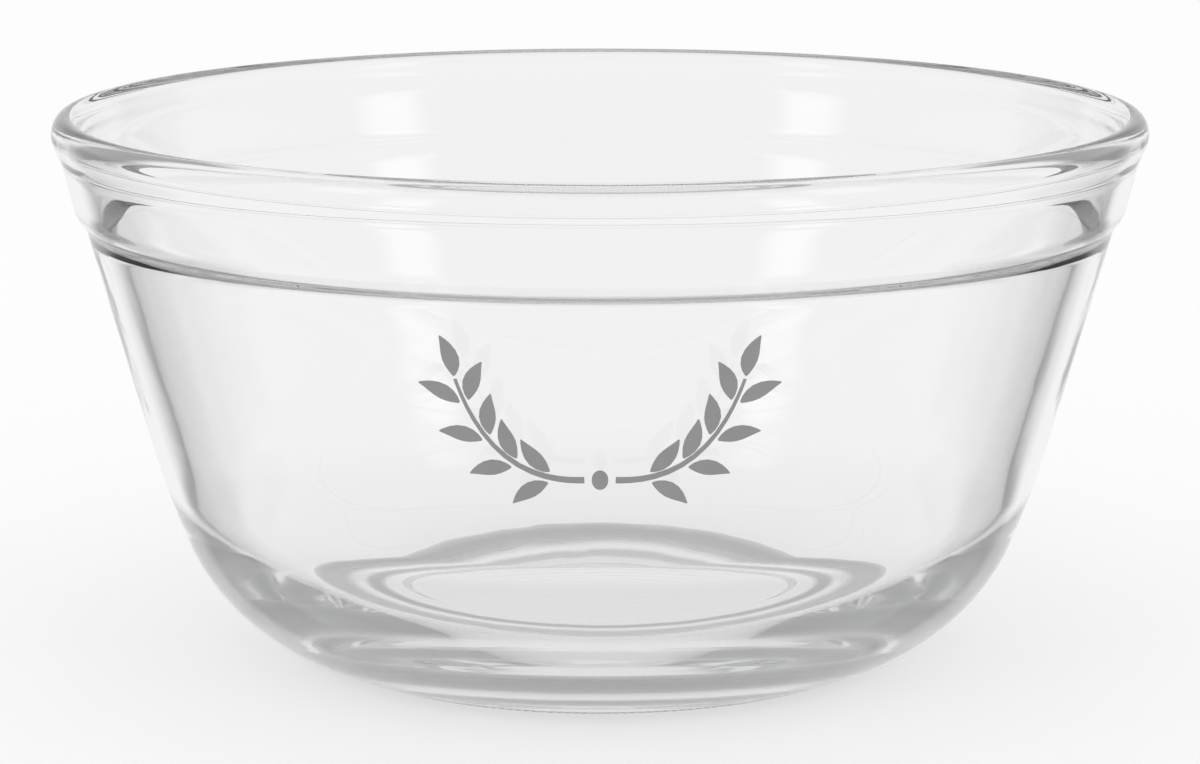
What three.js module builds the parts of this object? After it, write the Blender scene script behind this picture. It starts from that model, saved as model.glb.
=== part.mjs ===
// Pressed-glass salad bowl with a one-colour olive spray printed on its wall.
// Millimetres, +Z up, origin in the middle of the foot, print facing -Y.
import * as THREE from 'three';

// Overall size of the glass
const rimDiameter = 260;
const bowlHeight = 130;

// Rolled rim: a bead that stands out past the collar on both sides
const beadWidth = 6.6;
const beadOverhang = 2.5;
const beadCrownHeight = 4.5;
const beadNeckHeight = 7.5;

// Collar: the short drafted band under the rim
const collarHeight = 9;
const collarDraftDeg = 12.9;
const collarThickness = 5;

// Step: the moulded shoulder where the collar sets in to the wall
const stepHeight = 6;
const stepWidth = 3.1;
const innerStepHeight = 7;

// Wall: a straight taper, nearly as thick under the step as at the heel
const wallDraftDeg = 15;
const innerDraftDeg = 15.3;
const wallThickness = 6.6;

// Heel: three tangent arcs from the foot up to the wall, one arc inside
const cornerRadius = 13.5;
const cornerEndDeg = 19.5;
const heelRadius = 47.5;
const heelEndDeg = 69;
const bellyRadius = 250;
const innerHeelRadius = 45;

// Base: thick floor, flat ring to stand on, shallow recess inside the ring
const floorThickness = 9.9;
const footRingWidth = 18;
const recessDepth = 1.2;
const recessSlopeWidth = 3;

// Printed spray: two stems that part at the bottom and rise to each side
const inkThickness = 0.12;
const inkClearance = 0.1;
const inkTipHalfWidth = 0.12;
const stemRootOffset = 3.4;
const stemRootDrop = 14;
const stemBellyOffset = 24;
const stemBellyDrop = 15;
const stemTipOffset = 30;
const stemTipRise = 9;
const stemRootHalfWidth = 0.75;
const stemTipHalfWidth = 0.35;
const leafLength = 9.5;
const leafHalfWidth = 1.7;
const leafBend = 1.3;
const leafFullness = 0.85;
const leafSpreadDeg = 42;
const leafGap = 0.7;
const leafPairsPerStem = 4;
const firstLeafAt = 0.16;
const lastLeafAt = 0.86;
const oliveLength = 4.6;
const oliveHalfWidth = 1.7;

// Fineness of the faceted solids
const latheSegments = 72;
const smallArcSteps = 3;
const largeArcSteps = 8;
const stepSteps = 6;
const beadSteps = 5;
const leafSteps = 9;
const stemSteps = 16;
const oliveSteps = 8;

const radians = THREE.MathUtils.degToRad;

// Levels of the outside, from the top down
const rimRadius = rimDiameter / 2;
const beadLevel = bowlHeight - beadCrownHeight;
const collarTop = beadLevel - beadNeckHeight;
const collarBottom = collarTop - collarHeight;
const wallTop = collarBottom - stepHeight;
const stepMiddle = collarBottom - stepHeight / 2;

// Radii of the outside at those levels
const collarSlope = Math.tan(radians(collarDraftDeg));
const wallSlope = Math.tan(radians(wallDraftDeg));
const collarTopRadius = rimRadius - beadOverhang;
const collarRadiusAt = (z) => collarTopRadius - (collarTop - z) * collarSlope;
const wallTopRadius = collarRadiusAt(collarBottom) - stepWidth;
const wallRadiusAt = (z) => wallTopRadius - (wallTop - z) * wallSlope;

// The inside follows the outside at the collar and has its own draft below the step
const beadInnerRadius = rimRadius - beadWidth;
const innerCollarRadiusAt = (z) => collarRadiusAt(z) - collarThickness;
const innerStepTop = stepMiddle + innerStepHeight / 2;
const innerWallTop = stepMiddle - innerStepHeight / 2;
const innerSlope = Math.tan(radians(innerDraftDeg));
const innerWallTopRadius = wallRadiusAt(innerWallTop) - wallThickness / Math.cos(radians(wallDraftDeg));
const innerWallRadiusAt = (z) => innerWallTopRadius - (innerWallTop - z) * innerSlope;

// A point of the profile: x is the radius, y the height
function at(radius, height) {
  return new THREE.Vector2(radius, height);
}

// Points along an arc that starts at a point, given by the tangent's angle above the horizontal
function arcFrom(start, radius, fromDeg, toDeg, steps) {
  const points = [];
  for (let i = 1; i <= steps; i += 1) {
    const from = radians(fromDeg);
    const angle = radians(THREE.MathUtils.lerp(fromDeg, toDeg, i / steps));
    const out = radius * (Math.sin(angle) - Math.sin(from));
    const up = radius * (Math.cos(from) - Math.cos(angle));
    points.push(at(start.x + out, start.y + up));
  }
  return points;
}

// Points of an S-curve that leaves along one slope and arrives along another
function blendBetween(start, startPull, endPull, end, steps) {
  const curve = new THREE.CubicBezierCurve(start, startPull, endPull, end);
  return curve.getPoints(steps).slice(1);
}

// Points of a quarter ellipse of the bead, from its side to its crown or back
function beadQuarter(centre, halfWidth, fromDeg, toDeg, steps) {
  const points = [];
  for (let i = 1; i <= steps; i += 1) {
    const angle = radians(THREE.MathUtils.lerp(fromDeg, toDeg, i / steps));
    points.push(at(centre.x + halfWidth * Math.cos(angle), centre.y + beadCrownHeight * Math.sin(angle)));
  }
  return points;
}

// Heel arcs outside: corner, heel and belly, chained tangent to tangent from the foot
function heelOutline(footRadius) {
  const arcs = [
    { radius: cornerRadius, from: 0, to: cornerEndDeg, steps: smallArcSteps },
    { radius: heelRadius, from: cornerEndDeg, to: heelEndDeg, steps: largeArcSteps },
    { radius: bellyRadius, from: heelEndDeg, to: 90 - wallDraftDeg, steps: smallArcSteps },
  ];
  const points = [at(footRadius, 0)];
  for (const { radius, from, to, steps } of arcs) {
    points.push(...arcFrom(points[points.length - 1], radius, from, to, steps));
  }
  return points;
}

// The foot's radius puts the top of the heel arcs on the wall's line
const heelEnd = heelOutline(0).pop();
const footRadius = wallRadiusAt(heelEnd.y) - heelEnd.x;

// Outside of the bowl from the foot to the bead's widest level
function outsideOutline() {
  const wallEnd = at(wallTopRadius, wallTop);
  const collarStart = at(collarRadiusAt(collarBottom), collarBottom);
  const collarEnd = at(collarTopRadius, collarTop);
  const beadSide = at(rimRadius, beadLevel);
  const pull = stepHeight / 2;
  const neckPull = beadNeckHeight / 2;
  return [
    ...heelOutline(footRadius),
    wallEnd,
    ...blendBetween(
      wallEnd,
      at(wallRadiusAt(wallTop + pull), wallTop + pull),
      at(collarRadiusAt(collarBottom - pull), collarBottom - pull),
      collarStart,
      stepSteps,
    ),
    collarEnd,
    ...blendBetween(
      collarEnd,
      at(collarRadiusAt(collarTop + neckPull), collarTop + neckPull),
      at(rimRadius, beadLevel - beadNeckHeight / 3),
      beadSide,
      beadSteps,
    ),
  ];
}

// Over the rim and down the inside to the floor's middle
function insideOutline() {
  const crown = at((rimRadius + beadInnerRadius) / 2, beadLevel);
  const halfWidth = beadWidth / 2;
  const beadInside = at(beadInnerRadius, beadLevel);
  const collarEnd = at(innerCollarRadiusAt(collarTop), collarTop);
  const stepStart = at(innerCollarRadiusAt(innerStepTop), innerStepTop);
  const stepEnd = at(innerWallTopRadius, innerWallTop);
  const pull = innerStepHeight / 2;
  const neckPull = beadNeckHeight / 3;
  const heelTurnDeg = 90 - innerDraftDeg;
  const heelTop = floorThickness + innerHeelRadius * (1 - Math.cos(radians(heelTurnDeg)));
  const floorRadius = innerWallRadiusAt(heelTop) - innerHeelRadius * Math.sin(radians(heelTurnDeg));
  const floorEdge = at(floorRadius, floorThickness);
  const heelUp = arcFrom(floorEdge, innerHeelRadius, 0, heelTurnDeg, largeArcSteps);
  return [
    ...beadQuarter(crown, halfWidth, 0, 90, beadSteps),
    ...beadQuarter(crown, halfWidth, 90, 180, beadSteps),
    ...blendBetween(
      beadInside,
      at(beadInnerRadius, beadLevel - neckPull),
      at(innerCollarRadiusAt(collarTop + neckPull), collarTop + neckPull),
      collarEnd,
      beadSteps,
    ),
    stepStart,
    ...blendBetween(
      stepStart,
      at(innerCollarRadiusAt(innerStepTop - pull), innerStepTop - pull),
      at(innerWallRadiusAt(innerWallTop + pull), innerWallTop + pull),
      stepEnd,
      stepSteps,
    ),
    ...heelUp.reverse(),
    floorEdge,
    at(0, floorThickness),
  ];
}

// Underside from the middle of the recess out to the standing ring
function undersideOutline() {
  const ringInside = footRadius - footRingWidth;
  return [at(0, recessDepth), at(ringInside - recessSlopeWidth, recessDepth), at(ringInside, 0)];
}

const outside = outsideOutline();

// Clear pressed glass
function makeBowl() {
  const profile = [...undersideOutline(), ...outside, ...insideOutline()];
  const geometry = new THREE.LatheGeometry(profile, latheSegments);
  geometry.rotateX(Math.PI / 2);
  const glass = new THREE.MeshStandardMaterial({ color: '#eef1f1', roughness: 0.05, metalness: 0 });
  glass.transparent = true;
  glass.opacity = 0.35;
  const bowl = new THREE.Mesh(geometry, glass);
  bowl.name = 'glass_bowl';
  return bowl;
}

// Radius and outward normal of the outside at a height, read from its outline
function outsideAt(z) {
  let i = 1;
  while (i < outside.length - 1 && outside[i].y < z) {
    i += 1;
  }
  const low = outside[i - 1];
  const high = outside[i];
  const share = (z - low.y) / (high.y - low.y);
  const edge = high.clone().sub(low).normalize();
  return { radius: THREE.MathUtils.lerp(low.x, high.x, share), out: edge.y, up: -edge.x };
}

// Where the print's flat drawing lands: across is mm round the wall, along is mm up the slant
const sprayMiddle = (heelEnd.y + wallTop) / 2;
const sprayRadius = outsideAt(sprayMiddle).radius;

function onWall(across, along, lift) {
  const z = sprayMiddle + along * Math.cos(radians(wallDraftDeg));
  const wall = outsideAt(z);
  const angle = across / sprayRadius;
  const radius = wall.radius + lift * wall.out;
  return [radius * Math.sin(angle), -radius * Math.cos(angle), z + lift * wall.up];
}

// One closed film of ink that follows a curve of the drawing, as wide as halfWidthAt says
function inkStroke(name, curve, halfWidthAt, steps) {
  const sides = [-1, 0, 1];
  const positions = [];
  for (const lift of [inkClearance, inkClearance + inkThickness]) {
    for (let i = 0; i <= steps; i += 1) {
      const share = (1 - Math.cos((Math.PI * i) / steps)) / 2;
      const centre = curve.getPoint(share);
      const tangent = curve.getTangent(share);
      for (const side of sides) {
        const offset = side * halfWidthAt(share);
        positions.push(...onWall(centre.x - tangent.y * offset, centre.y + tangent.x * offset, lift));
      }
    }
  }

  const across = sides.length;
  const layer = across * (steps + 1);
  const index = [];
  const quad = (a, b, c, d) => index.push(a, b, c, a, c, d);
  for (let i = 0; i < steps; i += 1) {
    const row = i * across;
    const next = row + across;
    for (let j = 0; j < across - 1; j += 1) {
      quad(layer + row + j, layer + next + j, layer + next + j + 1, layer + row + j + 1);
      quad(row + j, row + j + 1, next + j + 1, next + j);
    }
    const last = across - 1;
    quad(row, next, layer + next, layer + row);
    quad(next + last, row + last, layer + row + last, layer + next + last);
  }
  const end = steps * across;
  for (let j = 0; j < across - 1; j += 1) {
    quad(j + 1, j, layer + j, layer + j + 1);
    quad(end + j, end + j + 1, layer + end + j + 1, layer + end + j);
  }

  const geometry = new THREE.BufferGeometry();
  geometry.setAttribute('position', new THREE.Float32BufferAttribute(positions, 3));
  geometry.setIndex(index);
  geometry.computeVertexNormals();
  const ink = new THREE.MeshStandardMaterial({ color: '#929292', roughness: 0.55, metalness: 0 });
  const film = new THREE.Mesh(geometry, ink);
  film.name = name;
  return film;
}

// Width along a leaf, fullest a little before its middle
function leafWidth(share) {
  return inkTipHalfWidth + leafHalfWidth * Math.sin(Math.PI * share ** leafFullness);
}

// Width along an olive, an ellipse
function oliveWidth(share) {
  return inkTipHalfWidth + oliveHalfWidth * Math.sqrt(1 - (2 * share - 1) ** 2);
}

// Width along a stem, tapering to its tip
function stemWidth(share) {
  return THREE.MathUtils.lerp(stemRootHalfWidth, stemTipHalfWidth, share);
}

// A leaf that springs from a point of the drawing and bends to one side
function makeLeaf(name, root, angle, bendSide) {
  const along = at(Math.cos(angle), Math.sin(angle));
  const aside = at(-along.y, along.x).multiplyScalar(bendSide * leafBend);
  const tip = root.clone().addScaledVector(along, leafLength);
  const middle = root.clone().lerp(tip, 0.5).add(aside);
  return inkStroke(name, new THREE.QuadraticBezierCurve(root, middle, tip), leafWidth, leafSteps);
}

// One half of the spray: a stem, leaves in pairs and a leaf at its tip
function makeSprayHalf(sideName, side) {
  const stem = new THREE.QuadraticBezierCurve(
    at(side * stemRootOffset, -stemRootDrop),
    at(side * stemBellyOffset, -stemBellyDrop),
    at(side * stemTipOffset, stemTipRise),
  );
  const films = [inkStroke(`print_stem_${sideName}`, stem, stemWidth, stemSteps)];
  const spread = radians(leafSpreadDeg);
  for (let pair = 0; pair < leafPairsPerStem; pair += 1) {
    const share = THREE.MathUtils.lerp(firstLeafAt, lastLeafAt, pair / (leafPairsPerStem - 1));
    const heading = stem.getTangent(share).angle();
    for (const turn of [1, -1]) {
      const angle = heading + turn * spread;
      const clear = (stemWidth(share) + leafGap) / Math.sin(spread);
      const root = stem.getPoint(share).add(at(Math.cos(angle), Math.sin(angle)).multiplyScalar(clear));
      const place = turn * side > 0 ? 'inner' : 'outer';
      films.push(makeLeaf(`print_leaf_${sideName}_${place}_${pair + 1}`, root, angle, -turn));
    }
  }
  const heading = stem.getTangent(1);
  const tipRoot = stem.getPoint(1).addScaledVector(heading, leafGap);
  films.push(makeLeaf(`print_leaf_${sideName}_tip`, tipRoot, heading.angle(), side));
  return films;
}

// The olive between the two stems
function makeOlive() {
  const low = at(0, -stemRootDrop - oliveLength / 2);
  const high = at(0, -stemRootDrop + oliveLength / 2);
  return inkStroke('print_olive', new THREE.LineCurve(low, high), oliveWidth, oliveSteps);
}

const saladBowl = new THREE.Group();
saladBowl.add(makeBowl(), makeOlive());
saladBowl.add(...makeSprayHalf('left', -1));
saladBowl.add(...makeSprayHalf('right', 1));

export default saladBowl;
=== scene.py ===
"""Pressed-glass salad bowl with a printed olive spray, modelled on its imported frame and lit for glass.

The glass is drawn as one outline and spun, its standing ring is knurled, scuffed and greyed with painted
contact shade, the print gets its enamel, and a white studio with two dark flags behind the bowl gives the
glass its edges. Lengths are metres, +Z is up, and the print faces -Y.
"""

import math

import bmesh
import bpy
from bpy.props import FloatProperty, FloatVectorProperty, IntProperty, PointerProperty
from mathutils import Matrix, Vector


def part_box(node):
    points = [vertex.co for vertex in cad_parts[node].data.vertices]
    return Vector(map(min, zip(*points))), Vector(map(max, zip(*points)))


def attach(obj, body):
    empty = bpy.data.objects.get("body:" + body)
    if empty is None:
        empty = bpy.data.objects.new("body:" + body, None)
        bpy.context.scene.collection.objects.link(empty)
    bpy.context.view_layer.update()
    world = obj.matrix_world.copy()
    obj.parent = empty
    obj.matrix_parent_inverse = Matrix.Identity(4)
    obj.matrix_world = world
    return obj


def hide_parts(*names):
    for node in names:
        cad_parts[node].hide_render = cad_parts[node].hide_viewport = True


bl_info = {
    "name": "Pressed glass salad bowl",
    "version": (1, 0, 0),
    "blender": (4, 5, 0),
    "location": "View3D > Sidebar > Bowl",
    "description": "Models a printed pressed-glass salad bowl on its packed frame and lights it",
    "category": "Object",
}

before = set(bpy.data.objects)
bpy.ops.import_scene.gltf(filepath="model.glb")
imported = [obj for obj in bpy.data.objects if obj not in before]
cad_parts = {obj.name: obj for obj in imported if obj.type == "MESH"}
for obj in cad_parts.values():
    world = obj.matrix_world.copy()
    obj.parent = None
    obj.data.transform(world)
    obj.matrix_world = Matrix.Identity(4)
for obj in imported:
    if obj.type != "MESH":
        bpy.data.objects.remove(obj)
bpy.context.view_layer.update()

MM = 0.001
BODY = "root"
GLASS_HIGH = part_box("glass_bowl")[1]
PRINT_NODES = sorted(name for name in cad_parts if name.startswith("print_"))

# Width of the photograph, in pixels
PHOTO_WIDTH = 1200

# Facets along each stretch of the section, from the underside over the rim to the floor
RECESS_STEPS = 40
SLOPE_STEPS = 6
RING_STEPS = 5
CORNER_STEPS = 8
HEEL_STEPS = 22
BELLY_STEPS = 8
WALL_STEPS = 14
STEP_STEPS = 16
COLLAR_STEPS = 6
NECK_STEPS = 14
BEAD_STEPS = 28
INNER_NECK_STEPS = 12
INNER_COLLAR_STEPS = 6
INNER_STEP_STEPS = 14
INNER_WALL_STEPS = 14
INNER_HEEL_STEPS = 30
FLOOR_STEPS = 10

# Points closer than this are one point, and a place this far past an edge still counts as on it
MERGE_GAP = 0.002 * MM
EDGE_SLACK = 0.01 * MM

# Edges that turn by more than this stay sharp
SHARP_TURN = math.radians(30)


def linear(hex_colour):
    """Turn an sRGB hex colour into linear red, green and blue."""
    channels = []
    for place in (1, 3, 5):
        level = int(hex_colour[place:place + 2], 16) / 255
        channels.append(level / 12.92 if level <= 0.04045 else ((level + 0.055) / 1.055) ** 2.4)
    return tuple(channels)


def length(name, description, millimetres):
    """A length property whose default is written in millimetres."""
    return FloatProperty(
        name=name, description=description, default=millimetres * MM, min=0.0, unit="LENGTH", precision=5
    )


def angle(name, description, degrees):
    """An angle property whose default is written in degrees."""
    return FloatProperty(name=name, description=description, default=math.radians(degrees), subtype="ANGLE")


def share(name, description, default):
    """A plain number between nothing and a few times one."""
    return FloatProperty(name=name, description=description, default=default, min=0.0, soft_max=2.0)


def colour(name, description, hex_colour):
    """A colour property whose default is written as sRGB hex."""
    return FloatVectorProperty(
        name=name,
        description=description,
        default=linear(hex_colour),
        size=3,
        min=0.0,
        max=1.0,
        subtype="COLOR",
    )


def count(name, description, default):
    """A whole number of things."""
    return IntProperty(name=name, description=description, default=default, min=1)


class GlassSizes(bpy.types.PropertyGroup):
    """Sizes of the pressed glass, from the rim down to the standing ring."""

    rim_radius: length("Rim radius", "Outermost radius of the bead", GLASS_HIGH.x / MM)
    height: length("Height", "From the standing ring to the bead's crown", GLASS_HIGH.z / MM)
    bead_width: length("Bead width", "Radial width of the rolled rim", 6.6)
    bead_overhang: length("Bead overhang", "How far the bead stands out past the collar", 2.5)
    bead_crown: length("Bead crown", "Height of the bead above its widest level", 4.5)
    bead_neck: length("Bead neck", "Height of the blend from collar to bead", 7.5)
    collar_height: length("Collar height", "Straight band under the rim", 9.0)
    collar_draft: angle("Collar draft", "Lean of the collar", 12.9)
    collar_thickness: length("Collar thickness", "Radial thickness of the collar", 5.0)
    step_height: length("Step height", "Height of the outer shoulder", 6.0)
    step_width: length("Step width", "How far the wall sets in under the collar", 3.1)
    inner_step_height: length("Inner step height", "Height of the inner shoulder", 7.0)
    wall_draft: angle("Wall draft", "Lean of the outer wall", 15.0)
    inner_draft: angle("Inner draft", "Lean of the inner wall", 15.3)
    wall_thickness: length("Wall thickness", "Thickness of the wall under the step", 6.6)
    corner_radius: length("Corner radius", "First arc up from the standing ring", 13.5)
    corner_end: angle("Corner end", "Slope at the end of the corner arc", 19.5)
    heel_radius: length("Heel radius", "Main arc of the heel", 47.5)
    heel_end: angle("Heel end", "Slope at the end of the heel arc", 69.0)
    belly_radius: length("Belly radius", "Wide arc from the heel into the wall", 250.0)
    inner_heel_radius: length("Inner heel radius", "Arc between the floor and the inner wall", 45.0)
    floor_thickness: length("Floor thickness", "Glass under the food", 9.9)
    ring_width: length("Ring width", "Width of the standing ring", 18.0)
    recess_depth: length("Recess depth", "Hollow inside the standing ring", 1.2)
    recess_slope: length("Recess slope", "Width of the slope into the recess", 3.0)
    ripple_depth: length("Ripple depth", "Height of the mould's turning marks in the recess", 0.015)
    ripple_pitch: length("Ripple pitch", "Spacing of the turning marks", 6.5)
    knurl_depth: length("Knurl depth", "Depth of the grooves across the standing ring", 0.15)
    knurl_margin: length("Knurl margin", "Plain edge between the slope and the knurling", 1.0)
    knurl_climb: length("Knurl climb", "How far the knurling runs out round the corner of the foot", 8.0)
    spin_steps: count("Spin steps", "Facets round the bowl, an even number", 480)


class GlassFinish(bpy.types.PropertyGroup):
    """Look of the glass."""

    tint: colour("Tint", "Colour of the glass, clear", "#ffffff")
    body_tint: colour("Body tint", "Colour that long paths through the glass take on", "#d9dfde")
    density: share("Density", "How fast the glass takes on its body tint, per metre", 1.0)
    refraction: share("Refraction", "Index of refraction of soda-lime glass", 1.52)
    roughness: share("Roughness", "Fire-polished surface", 0.0)
    wave_size: length("Wave size", "Spacing of the slow waves that pressing leaves", 22.0)
    wave_strength: share("Wave strength", "Strength of those waves", 0.003)
    wave_detail: share("Wave detail", "Layers of finer waves on them", 2.0)
    wave_falloff: share("Wave falloff", "Strength of each finer layer against the last", 0.4)
    # Painted contact shade: this grey stands in for the table's shade under the foot, and the glass does not
    # have it
    contact_shade_tint: colour("Contact shade tint", "Grey of the glass where it is worn most", "#989898")
    wear_roughness: share("Wear roughness", "Surface where it is worn most", 0.45)
    # The bands below are rougher from real wearing and are also greyed with painted contact shade
    wear_and_shade_radius: length("Wear and shade radius", "Where the corner of the foot is worn most", 70.0)
    wear_and_shade_width: length("Wear and shade width", "Half the width of the most worn band", 3.0)
    wear_and_shade_edge: length("Wear and shade edge", "Distance over which that wear fades", 6.0)
    stand_radius: length("Stand radius", "Line on which the ring bears on a table", 57.0)
    stand_width: length("Stand width", "Half the width of that line", 1.0)
    stand_edge: length("Stand edge", "Distance over which that line fades", 3.0)
    # This is also the share of the painted contact shade that the rest of the underside gets
    other_wear_and_shade: share("Other wear and shade", "Share of the most wear that the rest of the underside has", 0.05)


class PrintFinish(bpy.types.PropertyGroup):
    """Look of the fired enamel."""

    enamel: colour("Enamel", "Grey of the print", "#8a8a8a")
    refraction: share("Refraction", "Index of refraction of the enamel's glass", 1.5)
    roughness: share("Roughness", "Matt fired enamel", 0.5)
    grain_size: length("Grain size", "Spacing of the enamel's fine grain", 0.4)
    grain_detail: share("Grain detail", "Layers of finer grain on it", 1.0)
    grain_dullness: share("Grain dullness", "How far the grain makes the roughness vary", 0.1)
    grain_relief: share("Grain relief", "Strength of the grain's relief", 0.15)
    mottle_size: length("Mottle size", "Spacing of thicker and thinner ink", 6.0)
    mottle_detail: share("Mottle detail", "Layers of finer mottle on it", 3.0)
    mottle_depth: share("Mottle depth", "How far thick and thin ink differ from the middle grey", 0.08)


class Studio(bpy.types.PropertyGroup):
    """Camera, floor and light."""

    camera_distance: length("Camera distance", "From the bowl's axis, level with the floor", 800.0)
    camera_height: length("Camera height", "Above the floor", 229.64)
    camera_pitch: angle("Camera pitch", "How far the camera looks down", 11.8134)
    focal_pixels: FloatProperty(
        name="Focal length", description="In pixels of the photograph", default=3355.23
    )
    floor_size: length("Floor size", "Side of the floor", 40000.0)
    floor_drop: length("Floor drop", "How far the floor lies under the standing ring", 0.2)
    floor_colour: colour("Floor colour", "Pale floor", "#f8f8f8")
    floor_glow: share("Floor glow", "Share of plain white that the camera sees in the floor", 0.6)
    shadow_share: share("Shadow share", "Share of the floor's shadow that the glass shows", 0.25)
    shadow_near: length("Shadow near", "Radius of the floor that the glass shows with its shadow", 130.0)
    shadow_far: length("Shadow far", "Radius from which the glass shows the room instead", 200.0)
    ambient: share("Ambient", "Level of the soft light all round", 1.0)
    room: share("Room", "Level of the room that the glass shows", 0.9)
    overhead: share("Overhead", "Level of the upper room that the glass shows", 0.7)
    overhead_low: angle("Overhead low", "Height where the room starts to fall off", 5.0)
    overhead_high: angle("Overhead high", "Height above which it is at its upper level", 20.0)
    flag_level: share("Flag level", "Level of the dark flags", 0.3)
    flag_turn: angle("Flag turn", "Middle of each flag, left and right of straight behind the bowl", 50.0)
    flag_width: angle("Flag width", "Half the width of a flag's dark part", 10.0)
    flag_rise: angle("Flag rise", "Middle of each flag above the bowl's level", -20.0)
    flag_height: angle("Flag height", "Half the height of a flag's dark part", 22.0)
    flag_edge: angle("Flag edge", "Softness of a flag's edges", 10.0)
    window_level: share("Window level", "Level of the two soft windows that gleam on the glass", 1.8)
    window_turn: angle("Window turn", "Middle of each window, from straight behind the bowl", 127.0)
    window_width: angle("Window width", "Half the width of a window", 3.0)
    window_rise: angle("Window rise", "Middle of each window above the bowl's level", 26.0)
    window_height: angle("Window height", "Half the height of a window", 8.0)
    window_edge: angle("Window edge", "Softness of a window's edges", 8.0)
    glass_bounces: count("Bounces", "Turns of light inside the thick glass", 24)
    softbox_power: FloatProperty(name="Softbox power", description="Each softbox", default=2.5, unit="POWER")
    softbox_aside: length("Softbox aside", "To each side of the bowl, and as far in front of it", 1300.0)
    softbox_height: length("Softbox height", "Above the floor", 800.0)
    softbox_width: length("Softbox width", "Shorter side of a softbox", 500.0)
    softbox_length: length("Softbox length", "Longer side of a softbox", 900.0)


class SaladBowl(bpy.types.PropertyGroup):
    """All that can be set on the bowl and its stage."""

    sizes: PointerProperty(type=GlassSizes)
    glass: PointerProperty(type=GlassFinish)
    print_finish: PointerProperty(type=PrintFinish)
    studio: PointerProperty(type=Studio)


def add_node(tree, kind, inputs=None, **settings):
    """Add a node, give it its settings, and set or link its inputs."""
    node = tree.nodes.new(kind)
    for name, value in settings.items():
        setattr(node, name, value)
    for key, value in (inputs or {}).items():
        if isinstance(value, bpy.types.NodeSocket):
            tree.links.new(value, node.inputs[key])
        else:
            node.inputs[key].default_value = value
    return node


def reckon(tree, operation, *values):
    """The outcome of a sum on one or two values or sockets."""
    node = add_node(tree, "ShaderNodeMath", dict(enumerate(values)), operation=operation)
    return node.outputs["Value"]


def level_between(tree, factor, low, high):
    """A level between two others."""
    node = add_node(tree, "ShaderNodeMix", {"Factor": factor, "A": low, "B": high}, data_type="FLOAT")
    return node.outputs["Result"]


def start_material(name):
    """A new material with an empty node tree and its output."""
    material = bpy.data.materials.new(name)
    material.use_nodes = True
    material.node_tree.nodes.clear()
    output = add_node(material.node_tree, "ShaderNodeOutputMaterial")
    return material, material.node_tree, output


def arc_from(start, radius, start_angle, end_angle, steps):
    """Points after start along an arc, given by its slope above the horizontal."""
    points = []
    for step in range(1, steps + 1):
        slope = start_angle + (end_angle - start_angle) * step / steps
        out = radius * (math.sin(slope) - math.sin(start_angle))
        up = radius * (math.cos(start_angle) - math.cos(slope))
        points.append((start[0] + out, start[1] + up))
    return points


def blend_between(start, start_pull, end_pull, end, steps):
    """Points after start along a cubic curve that leaves and arrives towards its two pulls."""
    points = []
    for step in range(1, steps + 1):
        t = step / steps
        weights = ((1 - t) ** 3, 3 * (1 - t) ** 2 * t, 3 * (1 - t) * t ** 2, t ** 3)
        corners = (start, start_pull, end_pull, end)
        points.append(tuple(sum(w * corner[i] for w, corner in zip(weights, corners)) for i in (0, 1)))
    return points


def straight(start, end, steps):
    """Points after start along a line, close together near both ends so that its shading stays true."""
    points = []
    for step in range(1, steps + 1):
        t = (1 - math.cos(math.pi * step / steps)) / 2
        points.append(tuple(a + (b - a) * t for a, b in zip(start, end)))
    return points


def bead_over(centre, half_width, crown, steps):
    """Points after the bead's outer side, over its crown and down to its inner side."""
    turns = (math.pi * step / steps for step in range(1, steps + 1))
    return [(centre[0] + half_width * math.cos(turn), centre[1] + crown * math.sin(turn)) for turn in turns]


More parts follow.
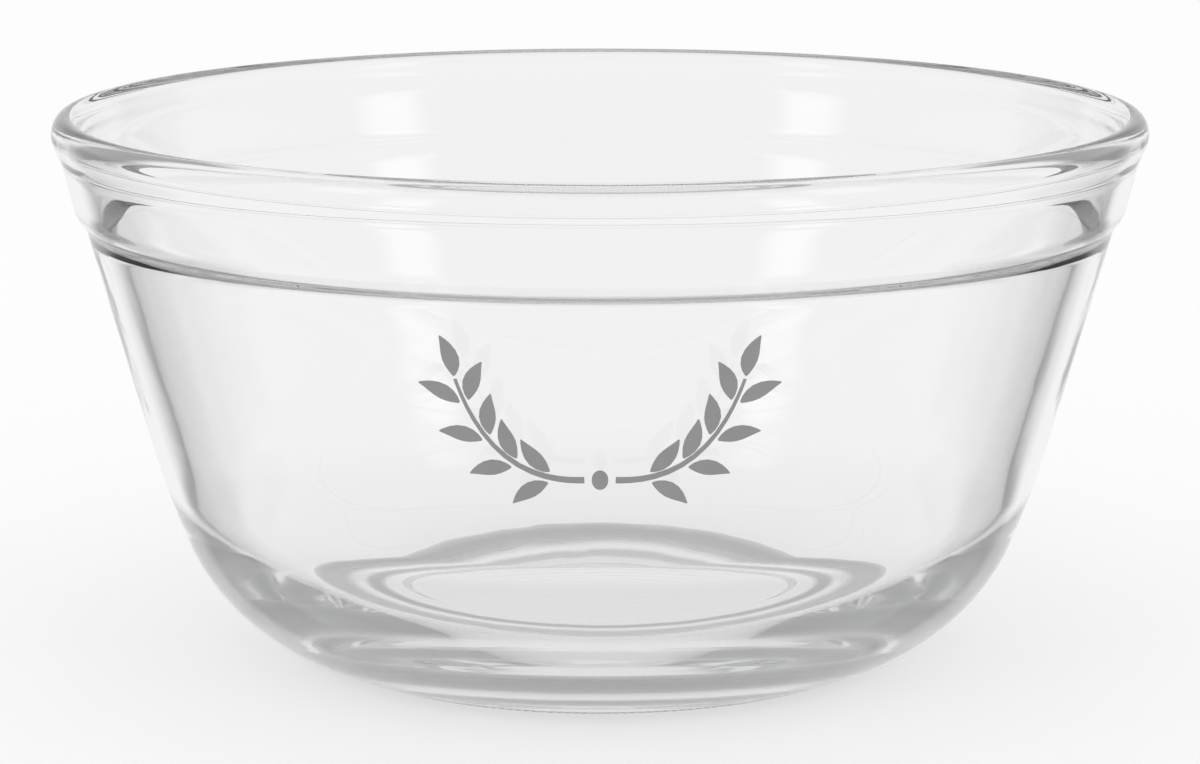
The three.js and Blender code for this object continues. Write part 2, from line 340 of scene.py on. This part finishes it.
class Outline:
    """The bowl's section, worked out from its sizes: (radius, height) points from the underside's middle."""

    def __init__(self, sizes):
        self.sizes = sizes
        self.bead_level = sizes.height - sizes.bead_crown
        self.collar_top = self.bead_level - sizes.bead_neck
        self.collar_bottom = self.collar_top - sizes.collar_height
        self.wall_top = self.collar_bottom - sizes.step_height
        self.step_middle = self.collar_bottom - sizes.step_height / 2
        self.wall_top_radius = self.collar(self.collar_bottom) - sizes.step_width
        heel_end = self.heel(0.0)[-1]
        self.foot_radius = self.wall(heel_end[1]) - heel_end[0]
        self.ring_inside = self.foot_radius - sizes.ring_width

    def collar(self, z):
        """Radius of the collar's line at a height."""
        top_radius = self.sizes.rim_radius - self.sizes.bead_overhang
        return top_radius - (self.collar_top - z) * math.tan(self.sizes.collar_draft)

    def wall(self, z):
        """Radius of the outer wall's line at a height."""
        return self.wall_top_radius - (self.wall_top - z) * math.tan(self.sizes.wall_draft)

    def heel(self, foot_radius):
        """Corner, heel and belly arcs, chained up from the standing ring."""
        sizes = self.sizes
        upright = math.pi / 2 - sizes.wall_draft
        points = [(foot_radius, 0.0)]
        points += arc_from(points[-1], sizes.corner_radius, 0.0, sizes.corner_end, CORNER_STEPS)
        points += arc_from(points[-1], sizes.heel_radius, sizes.corner_end, sizes.heel_end, HEEL_STEPS)
        points += arc_from(points[-1], sizes.belly_radius, sizes.heel_end, upright, BELLY_STEPS)
        return points

    def underside(self):
        """Recess with its turning marks, slope and the inner part of the standing ring."""
        sizes = self.sizes
        recess_radius = self.ring_inside - sizes.recess_slope
        points = []
        for step in range(RECESS_STEPS + 1):
            radius = recess_radius * step / RECESS_STEPS
            wave = math.cos(2 * math.pi * (recess_radius - radius) / sizes.ripple_pitch) - 1
            points.append((radius, sizes.recess_depth + sizes.ripple_depth * wave / 2))
        half = sizes.recess_slope / 2
        points += blend_between(
            points[-1],
            (recess_radius + half, sizes.recess_depth),
            (self.ring_inside - half, 0.0),
            (self.ring_inside, 0.0),
            SLOPE_STEPS,
        )
        # Circles across the ring, the first and last a plain edge away from its sides
        first = self.ring_inside + sizes.knurl_margin
        last = self.foot_radius - sizes.knurl_margin
        for step in range(RING_STEPS + 1):
            points.append((first + (last - first) * step / RING_STEPS, 0.0))
        return points

    def outside(self):
        """Heel, wall, step, collar and neck, up to the bead's widest level."""
        sizes = self.sizes
        pull = sizes.step_height / 2
        neck_pull = sizes.bead_neck / 2
        wall_end = (self.wall_top_radius, self.wall_top)
        collar_start = (self.collar(self.collar_bottom), self.collar_bottom)
        collar_end = (self.collar(self.collar_top), self.collar_top)
        points = self.heel(self.foot_radius)
        points += straight(points[-1], wall_end, WALL_STEPS)
        points += blend_between(
            wall_end,
            (self.wall(self.wall_top + pull), self.wall_top + pull),
            (self.collar(self.collar_bottom - pull), self.collar_bottom - pull),
            collar_start,
            STEP_STEPS,
        )
        points += straight(collar_start, collar_end, COLLAR_STEPS)
        points += blend_between(
            collar_end,
            (self.collar(self.collar_top + neck_pull), self.collar_top + neck_pull),
            (sizes.rim_radius, self.bead_level - sizes.bead_neck / 3),
            (sizes.rim_radius, self.bead_level),
            NECK_STEPS,
        )
        return points

    def inside(self):
        """Over the rim and down the inside to the middle of the floor."""
        sizes = self.sizes
        bead_inside = sizes.rim_radius - sizes.bead_width
        half_width = sizes.bead_width / 2
        neck_pull = sizes.bead_neck / 3
        pull = sizes.inner_step_height / 2
        step_top = self.step_middle + pull
        wall_top = self.step_middle - pull
        top_radius = self.wall(wall_top) - sizes.wall_thickness / math.cos(sizes.wall_draft)

        def collar(z):
            return self.collar(z) - sizes.collar_thickness

        def wall(z):
            return top_radius - (wall_top - z) * math.tan(sizes.inner_draft)

        turn = math.pi / 2 - sizes.inner_draft
        heel_top = sizes.floor_thickness + sizes.inner_heel_radius * (1 - math.cos(turn))
        floor_edge = (wall(heel_top) - sizes.inner_heel_radius * math.sin(turn), sizes.floor_thickness)
        heel = arc_from(floor_edge, sizes.inner_heel_radius, 0.0, turn, INNER_HEEL_STEPS)

        bead_centre = (sizes.rim_radius - half_width, self.bead_level)
        points = bead_over(bead_centre, half_width, sizes.bead_crown, BEAD_STEPS)
        points += blend_between(
            (bead_inside, self.bead_level),
            (bead_inside, self.bead_level - neck_pull),
            (collar(self.collar_top + neck_pull), self.collar_top + neck_pull),
            (collar(self.collar_top), self.collar_top),
            INNER_NECK_STEPS,
        )
        step_start = (collar(step_top), step_top)
        points += straight(points[-1], step_start, INNER_COLLAR_STEPS)
        points += blend_between(
            step_start,
            (collar(step_top - pull), step_top - pull),
            (wall(wall_top + pull), wall_top + pull),
            (top_radius, wall_top),
            INNER_STEP_STEPS,
        )
        points += straight(points[-1], heel[-1], INNER_WALL_STEPS)
        points += heel[-2::-1]
        points.append(floor_edge)
        points += straight(floor_edge, (0.0, sizes.floor_thickness), FLOOR_STEPS)
        return points

    def points(self):
        """The whole section in order."""
        return self.underside() + self.outside() + self.inside()


def draw_and_spin(name, points, steps):
    """Draw an outline vertex by vertex in the XZ plane and spin it round Z into a closed body."""
    bpy.ops.object.select_all(action="DESELECT")
    bpy.ops.mesh.primitive_plane_add(size=1.0)
    piece = bpy.context.object
    piece.name = name
    piece.data.name = name
    bpy.ops.object.mode_set(mode="EDIT")
    bpy.ops.mesh.select_all(action="SELECT")
    bpy.ops.mesh.merge(type="CENTER")
    places = [Vector((radius, 0.0, height)) for radius, height in points]
    bpy.ops.transform.translate(value=places[0])
    for here, there in zip(places, places[1:]):
        bpy.ops.mesh.extrude_vertices_move(TRANSFORM_OT_translate={"value": there - here})
    bpy.ops.mesh.select_all(action="SELECT")
    bpy.ops.mesh.spin(steps=steps, angle=2 * math.pi, center=(0, 0, 0), axis=(0, 0, 1))
    bpy.ops.mesh.select_all(action="SELECT")
    bpy.ops.mesh.remove_doubles(threshold=MERGE_GAP)
    bpy.ops.mesh.normals_make_consistent(inside=False)
    bpy.ops.object.mode_set(mode="OBJECT")
    return piece


def knurl_ring(piece, inner, outer, top, depth, steps):
    """Lift every other spoke of the standing ring and its corner, which leaves fine ridges to stand on."""
    bpy.ops.object.mode_set(mode="EDIT")
    bpy.ops.mesh.select_mode(type="VERT")
    bpy.ops.mesh.select_all(action="DESELECT")
    mesh = bmesh.from_edit_mesh(piece.data)
    pitch = 2 * math.pi / steps
    for vertex in mesh.verts:
        radius = vertex.co.xy.length
        spoke = round(math.atan2(vertex.co.y, vertex.co.x) / pitch)
        on_ring = vertex.co.z < top and inner + EDGE_SLACK < radius < outer
        vertex.select_set(on_ring and spoke % 2 == 1)
    mesh.select_flush_mode()
    bmesh.update_edit_mesh(piece.data)
    bpy.ops.transform.translate(value=(0.0, 0.0, depth))
    bpy.ops.object.mode_set(mode="OBJECT")


def finish_underside(piece, outer, top, material):
    """Put a material of its own on the faces that look down, out to the end of the knurling."""
    piece.data.materials.append(material)
    bpy.ops.object.mode_set(mode="EDIT")
    bpy.ops.mesh.select_mode(type="FACE")
    bpy.ops.mesh.select_all(action="DESELECT")
    mesh = bmesh.from_edit_mesh(piece.data)
    for face in mesh.faces:
        middle = face.calc_center_median()
        face.select_set(middle.z < top and middle.xy.length < outer)
    mesh.select_flush_mode()
    bmesh.update_edit_mesh(piece.data)
    piece.active_material_index = len(piece.data.materials) - 1
    bpy.ops.object.material_slot_assign()
    bpy.ops.object.mode_set(mode="OBJECT")


def within(tree, value, middle, half, edge):
    """One inside a band round a middle value, nothing outside it, with soft edges."""
    away = reckon(tree, "ABSOLUTE", reckon(tree, "SUBTRACT", value, middle))
    fade = add_node(
        tree,
        "ShaderNodeMapRange",
        {"Value": away, "From Min": half, "From Max": half + edge, "To Min": 1.0, "To Max": 0.0},
        interpolation_type="SMOOTHSTEP",
    )
    return fade.outputs["Result"]


def shown_by_glass(tree, paths):
    """One for rays that come through or off the glass, nothing for others."""
    return reckon(tree, "MAXIMUM", paths.outputs["Is Transmission Ray"], paths.outputs["Is Glossy Ray"])


def pressed_glass(finish):
    """Clear soda-lime glass, pressed and fire-polished.

    It is nearly colourless, bends what is behind it, goes grey-green where light runs far inside it, and its
    surface keeps slow waves from the mould that make straight edges behind it swim a little.
    """
    material, tree, output = start_material("Pressed soda-lime glass")
    place = add_node(tree, "ShaderNodeTexCoord").outputs["Object"]
    waves = add_node(
        tree,
        "ShaderNodeTexNoise",
        {
            "Vector": place,
            "Scale": 1 / finish.wave_size,
            "Detail": finish.wave_detail,
            "Roughness": finish.wave_falloff,
        },
    )
    surface = add_node(
        tree,
        "ShaderNodeBump",
        {"Height": waves.outputs["Fac"], "Strength": finish.wave_strength, "Distance": finish.wave_size},
    )
    glass = add_node(
        tree,
        "ShaderNodeBsdfPrincipled",
        {
            "Base Color": (*finish.tint, 1.0),
            "Roughness": finish.roughness,
            "IOR": finish.refraction,
            "Transmission Weight": 1.0,
            "Normal": surface.outputs["Normal"],
        },
    )
    body = add_node(
        tree, "ShaderNodeVolumeAbsorption", {"Color": (*finish.body_tint, 1.0), "Density": finish.density}
    )
    tree.links.new(glass.outputs["BSDF"], output.inputs["Surface"])
    tree.links.new(body.outputs["Volume"], output.inputs["Volume"])
    return material


def worn_and_shaded_underside(finish):
    """The same glass where the bowl stands, dulled by tables and greyed with painted contact shade.

    The corner of the foot and the line on which the ring bears are the roughest. There a painted grey that
    stands in for the table's shade under the foot passes about half the light. The rest of the underside is
    only a little dull and a little grey.
    """
    material, tree, output = start_material("Worn knurled glass with painted contact shade")
    place = add_node(tree, "ShaderNodeTexCoord").outputs["Object"]
    flat = add_node(tree, "ShaderNodeVectorMath", {0: place, 1: (1.0, 1.0, 0.0)}, operation="MULTIPLY")
    away = add_node(tree, "ShaderNodeVectorMath", {0: flat.outputs["Vector"]}, operation="LENGTH")
    radius = away.outputs["Value"]
    # Bands where the foot meets the table: rough from real wearing, and greyed with painted contact shade
    corner = within(tree, radius, finish.wear_and_shade_radius, finish.wear_and_shade_width, finish.wear_and_shade_edge)
    stand = within(tree, radius, finish.stand_radius, finish.stand_width, finish.stand_edge)
    most = reckon(tree, "MAXIMUM", corner, stand)
    scuff_and_shade = add_node(tree, "ShaderNodeMapRange", {"Value": most, "To Min": finish.other_wear_and_shade})
    # Painted contact shade: the glass goes grey in these bands in place of the table's shade under the foot
    tint = add_node(
        tree,
        "ShaderNodeMix",
        {"Factor": scuff_and_shade.outputs["Result"], "A": (*finish.tint, 1.0), "B": (*finish.contact_shade_tint, 1.0)},
        data_type="RGBA",
    )
    dull = add_node(
        tree, "ShaderNodeMapRange", {"Value": scuff_and_shade.outputs["Result"], "To Max": finish.wear_roughness}
    )
    worn = add_node(
        tree,
        "ShaderNodeBsdfPrincipled",
        {
            "Base Color": tint.outputs["Result"],
            "Roughness": dull.outputs["Result"],
            "IOR": finish.refraction,
            "Transmission Weight": 1.0,
        },
    )
    tree.links.new(worn.outputs["BSDF"], output.inputs["Surface"])
    return material


def fired_enamel(finish):
    """Grey vitreous enamel, screen-printed and fired onto the glass.

    It is matt and opaque, a little uneven where the screen laid it thicker, with a fine grain.
    """
    material, tree, output = start_material("Screen-printed fired enamel")
    place = add_node(tree, "ShaderNodeTexCoord").outputs["Object"]
    mottle = add_node(
        tree,
        "ShaderNodeTexNoise",
        {"Vector": place, "Scale": 1 / finish.mottle_size, "Detail": finish.mottle_detail},
    )
    grain = add_node(
        tree,
        "ShaderNodeTexNoise",
        {"Vector": place, "Scale": 1 / finish.grain_size, "Detail": finish.grain_detail},
    )
    thick_ink = Vector(finish.enamel) * (1 - finish.mottle_depth)
    thin_ink = Vector(finish.enamel) * (1 + finish.mottle_depth)
    ink = add_node(
        tree,
        "ShaderNodeMix",
        {"Factor": mottle.outputs["Fac"], "A": (*thick_ink, 1.0), "B": (*thin_ink, 1.0)},
        data_type="RGBA",
    )
    dull = add_node(
        tree,
        "ShaderNodeMapRange",
        {
            "Value": grain.outputs["Fac"],
            "To Min": finish.roughness - finish.grain_dullness,
            "To Max": finish.roughness + finish.grain_dullness,
        },
    )
    relief = add_node(
        tree,
        "ShaderNodeBump",
        {"Height": grain.outputs["Fac"], "Strength": finish.grain_relief, "Distance": finish.grain_size / 4},
    )
    shader = add_node(
        tree,
        "ShaderNodeBsdfPrincipled",
        {
            "Base Color": ink.outputs["Result"],
            "Roughness": dull.outputs["Result"],
            "IOR": finish.refraction,
            "Normal": relief.outputs["Normal"],
        },
    )
    tree.links.new(shader.outputs["BSDF"], output.inputs["Surface"])
    return material


def pale_floor(studio):
    """Matt white paper sweep.

    The camera sees it part plain white, so its shadow is light. Rays that come through or off the glass see
    a share of the paper's shadow close to the bowl, and otherwise pass it and meet the white room behind.
    """
    material, tree, output = start_material("White paper sweep")
    paths = add_node(tree, "ShaderNodeLightPath")
    paper = add_node(tree, "ShaderNodeBsdfDiffuse", {"Color": (*studio.floor_colour, 1.0)})
    white = add_node(tree, "ShaderNodeEmission", {"Color": (1.0, 1.0, 1.0, 1.0), "Strength": 1.0})
    glow = reckon(tree, "MULTIPLY", paths.outputs["Is Camera Ray"], studio.floor_glow)
    seen = add_node(
        tree, "ShaderNodeMixShader", {0: glow, 1: paper.outputs["BSDF"], 2: white.outputs["Emission"]}
    )
    clear = add_node(tree, "ShaderNodeBsdfTransparent")
    place = add_node(tree, "ShaderNodeTexCoord").outputs["Object"]
    radius = add_node(tree, "ShaderNodeVectorMath", {0: place}, operation="LENGTH")
    far = add_node(
        tree,
        "ShaderNodeMapRange",
        {
            "Value": radius.outputs["Value"],
            "From Min": studio.shadow_near,
            "From Max": studio.shadow_far,
            "To Min": 1.0 - studio.shadow_share,
        },
        interpolation_type="SMOOTHSTEP",
    )
    past = reckon(tree, "MULTIPLY", shown_by_glass(tree, paths), far.outputs["Result"])
    mixed = add_node(
        tree, "ShaderNodeMixShader", {0: past, 1: seen.outputs["Shader"], 2: clear.outputs["BSDF"]}
    )
    tree.links.new(mixed.outputs["Shader"], output.inputs["Surface"])
    return material


def studio_world(studio):
    """White for the camera.

    The glass shows a room that is greyer overhead, with two dark flags behind the bowl that draw its edges
    and two soft windows in front that gleam on it.
    """
    world = bpy.data.worlds.new("White room with dark flags")
    world.use_nodes = True
    tree = world.node_tree
    tree.nodes.clear()
    paths = add_node(tree, "ShaderNodeLightPath")
    direction = add_node(tree, "ShaderNodeTexCoord").outputs["Generated"]
    parts = add_node(tree, "ShaderNodeSeparateXYZ", {"Vector": direction})
    aside = reckon(tree, "ABSOLUTE", reckon(tree, "ARCTAN2", parts.outputs["X"], parts.outputs["Y"]))
    rise = reckon(tree, "ARCSINE", parts.outputs["Z"])
    flag = reckon(
        tree,
        "MULTIPLY",
        within(tree, aside, studio.flag_turn, studio.flag_width, studio.flag_edge),
        within(tree, rise, studio.flag_rise, studio.flag_height, studio.flag_edge),
    )
    window = reckon(
        tree,
        "MULTIPLY",
        within(tree, aside, studio.window_turn, studio.window_width, studio.window_edge),
        within(tree, rise, studio.window_rise, studio.window_height, studio.window_edge),
    )
    room = add_node(
        tree,
        "ShaderNodeMapRange",
        {
            "Value": rise,
            "From Min": studio.overhead_low,
            "From Max": studio.overhead_high,
            "To Min": studio.room,
            "To Max": studio.overhead,
        },
        interpolation_type="SMOOTHSTEP",
    )
    flagged = level_between(tree, flag, room.outputs["Result"], studio.flag_level)
    lit = level_between(tree, window, flagged, studio.window_level)
    shown = level_between(tree, shown_by_glass(tree, paths), studio.ambient, lit)
    seen = level_between(tree, paths.outputs["Is Camera Ray"], shown, 1.0)
    light = add_node(tree, "ShaderNodeBackground", {"Color": (1.0, 1.0, 1.0, 1.0), "Strength": seen})
    add_node(tree, "ShaderNodeOutputWorld", {"Surface": light.outputs["Background"]})
    return world


def add_softbox(name, place, studio):
    """A rectangular softbox that looks at the bowl."""
    target = Vector((0.0, 0.0, GLASS_HIGH.z / 2))
    bpy.ops.object.light_add(type="AREA", location=place)
    softbox = bpy.context.object
    softbox.name = name
    softbox.rotation_euler = (Vector(place) - target).to_track_quat("Z", "Y").to_euler()
    softbox.data.shape = "RECTANGLE"
    softbox.data.size = studio.softbox_width
    softbox.data.size_y = studio.softbox_length
    softbox.data.energy = studio.softbox_power
    softbox.visible_glossy = False
    softbox.visible_transmission = False


class BOWL_OT_press_glass(bpy.types.Operator):
    """Spin the bowl's section into glass and knurl its standing ring"""

    bl_idname = "bowl.press_glass"
    bl_label = "Press the glass"

    def execute(self, context):
        settings = context.scene.salad_bowl
        sizes = settings.sizes
        outline = Outline(sizes)
        bowl = draw_and_spin("pressed_glass_bowl", outline.points(), sizes.spin_steps)
        knurl_inside = outline.ring_inside + sizes.knurl_margin
        knurl_outside = outline.foot_radius + sizes.knurl_climb
        foot_top = sizes.floor_thickness / 2
        knurl_ring(bowl, knurl_inside, knurl_outside, foot_top, sizes.knurl_depth, sizes.spin_steps)
        bpy.ops.object.shade_smooth_by_angle(angle=SHARP_TURN)
        bowl.data.materials.append(pressed_glass(settings.glass))
        # The underside gets rough worn glass that is also greyed with painted contact shade
        finish_underside(bowl, knurl_outside, foot_top, worn_and_shaded_underside(settings.glass))
        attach(bowl, BODY)
        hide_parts("glass_bowl")
        return {"FINISHED"}


class BOWL_OT_fire_print(bpy.types.Operator):
    """Give the spray's films of ink their enamel"""

    bl_idname = "bowl.fire_print"
    bl_label = "Fire the print"

    def execute(self, context):
        enamel = fired_enamel(context.scene.salad_bowl.print_finish)
        for name in PRINT_NODES:
            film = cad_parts[name]
            film.data.materials.clear()
            film.data.materials.append(enamel)
        return {"FINISHED"}


class BOWL_OT_set_stage(bpy.types.Operator):
    """Set the camera, the floor, the white room and the softboxes"""

    bl_idname = "bowl.set_stage"
    bl_label = "Set the stage"

    def execute(self, context):
        scene = context.scene
        studio = scene.salad_bowl.studio
        scene.view_settings.view_transform = "Standard"
        scene.cycles.max_bounces = studio.glass_bounces
        scene.cycles.glossy_bounces = studio.glass_bounces
        scene.cycles.transmission_bounces = studio.glass_bounces
        scene.world = studio_world(studio)

        bpy.ops.object.select_all(action="DESELECT")
        bpy.ops.mesh.primitive_plane_add(size=studio.floor_size, location=(0.0, 0.0, -studio.floor_drop))
        floor = context.object
        floor.name = "paper_floor"
        floor.data.materials.append(pale_floor(studio))

        for side, name in ((-1, "softbox_left"), (1, "softbox_right")):
            place = (side * studio.softbox_aside, -studio.softbox_aside, studio.softbox_height)
            add_softbox(name, place, studio)

        place = (0.0, -studio.camera_distance, studio.camera_height)
        aim = (math.pi / 2 - studio.camera_pitch, 0.0, 0.0)
        bpy.ops.object.camera_add(location=place, rotation=aim)
        camera = context.object
        camera.name = "front_camera"
        camera.data.sensor_fit = "HORIZONTAL"
        camera.data.lens = studio.focal_pixels / PHOTO_WIDTH * camera.data.sensor_width
        scene.camera = camera
        return {"FINISHED"}


class BOWL_PT_sidebar(bpy.types.Panel):
    """The bowl's steps and settings in the 3D view's sidebar"""

    bl_label = "Salad bowl"
    bl_idname = "BOWL_PT_sidebar"
    bl_space_type = "VIEW_3D"
    bl_region_type = "UI"
    bl_category = "Bowl"

    def draw(self, context):
        layout = self.layout
        settings = context.scene.salad_bowl
        for operator in (BOWL_OT_press_glass, BOWL_OT_fire_print, BOWL_OT_set_stage):
            layout.operator(operator.bl_idname)
        for group in (settings.sizes, settings.glass, settings.print_finish, settings.studio):
            box = layout.box()
            for name in group.__annotations__:
                box.prop(group, name)


CLASSES = (
    GlassSizes,
    GlassFinish,
    PrintFinish,
    Studio,
    SaladBowl,
    BOWL_OT_press_glass,
    BOWL_OT_fire_print,
    BOWL_OT_set_stage,
    BOWL_PT_sidebar,
)


def register():
    for cls in CLASSES:
        bpy.utils.register_class(cls)
    bpy.types.Scene.salad_bowl = PointerProperty(type=SaladBowl)


def unregister():
    del bpy.types.Scene.salad_bowl
    for cls in reversed(CLASSES):
        bpy.utils.unregister_class(cls)


def main():
    register()
    bpy.ops.bowl.press_glass()
    bpy.ops.bowl.fire_print()
    bpy.ops.bowl.set_stage()


if __name__ == "__main__":
    main()
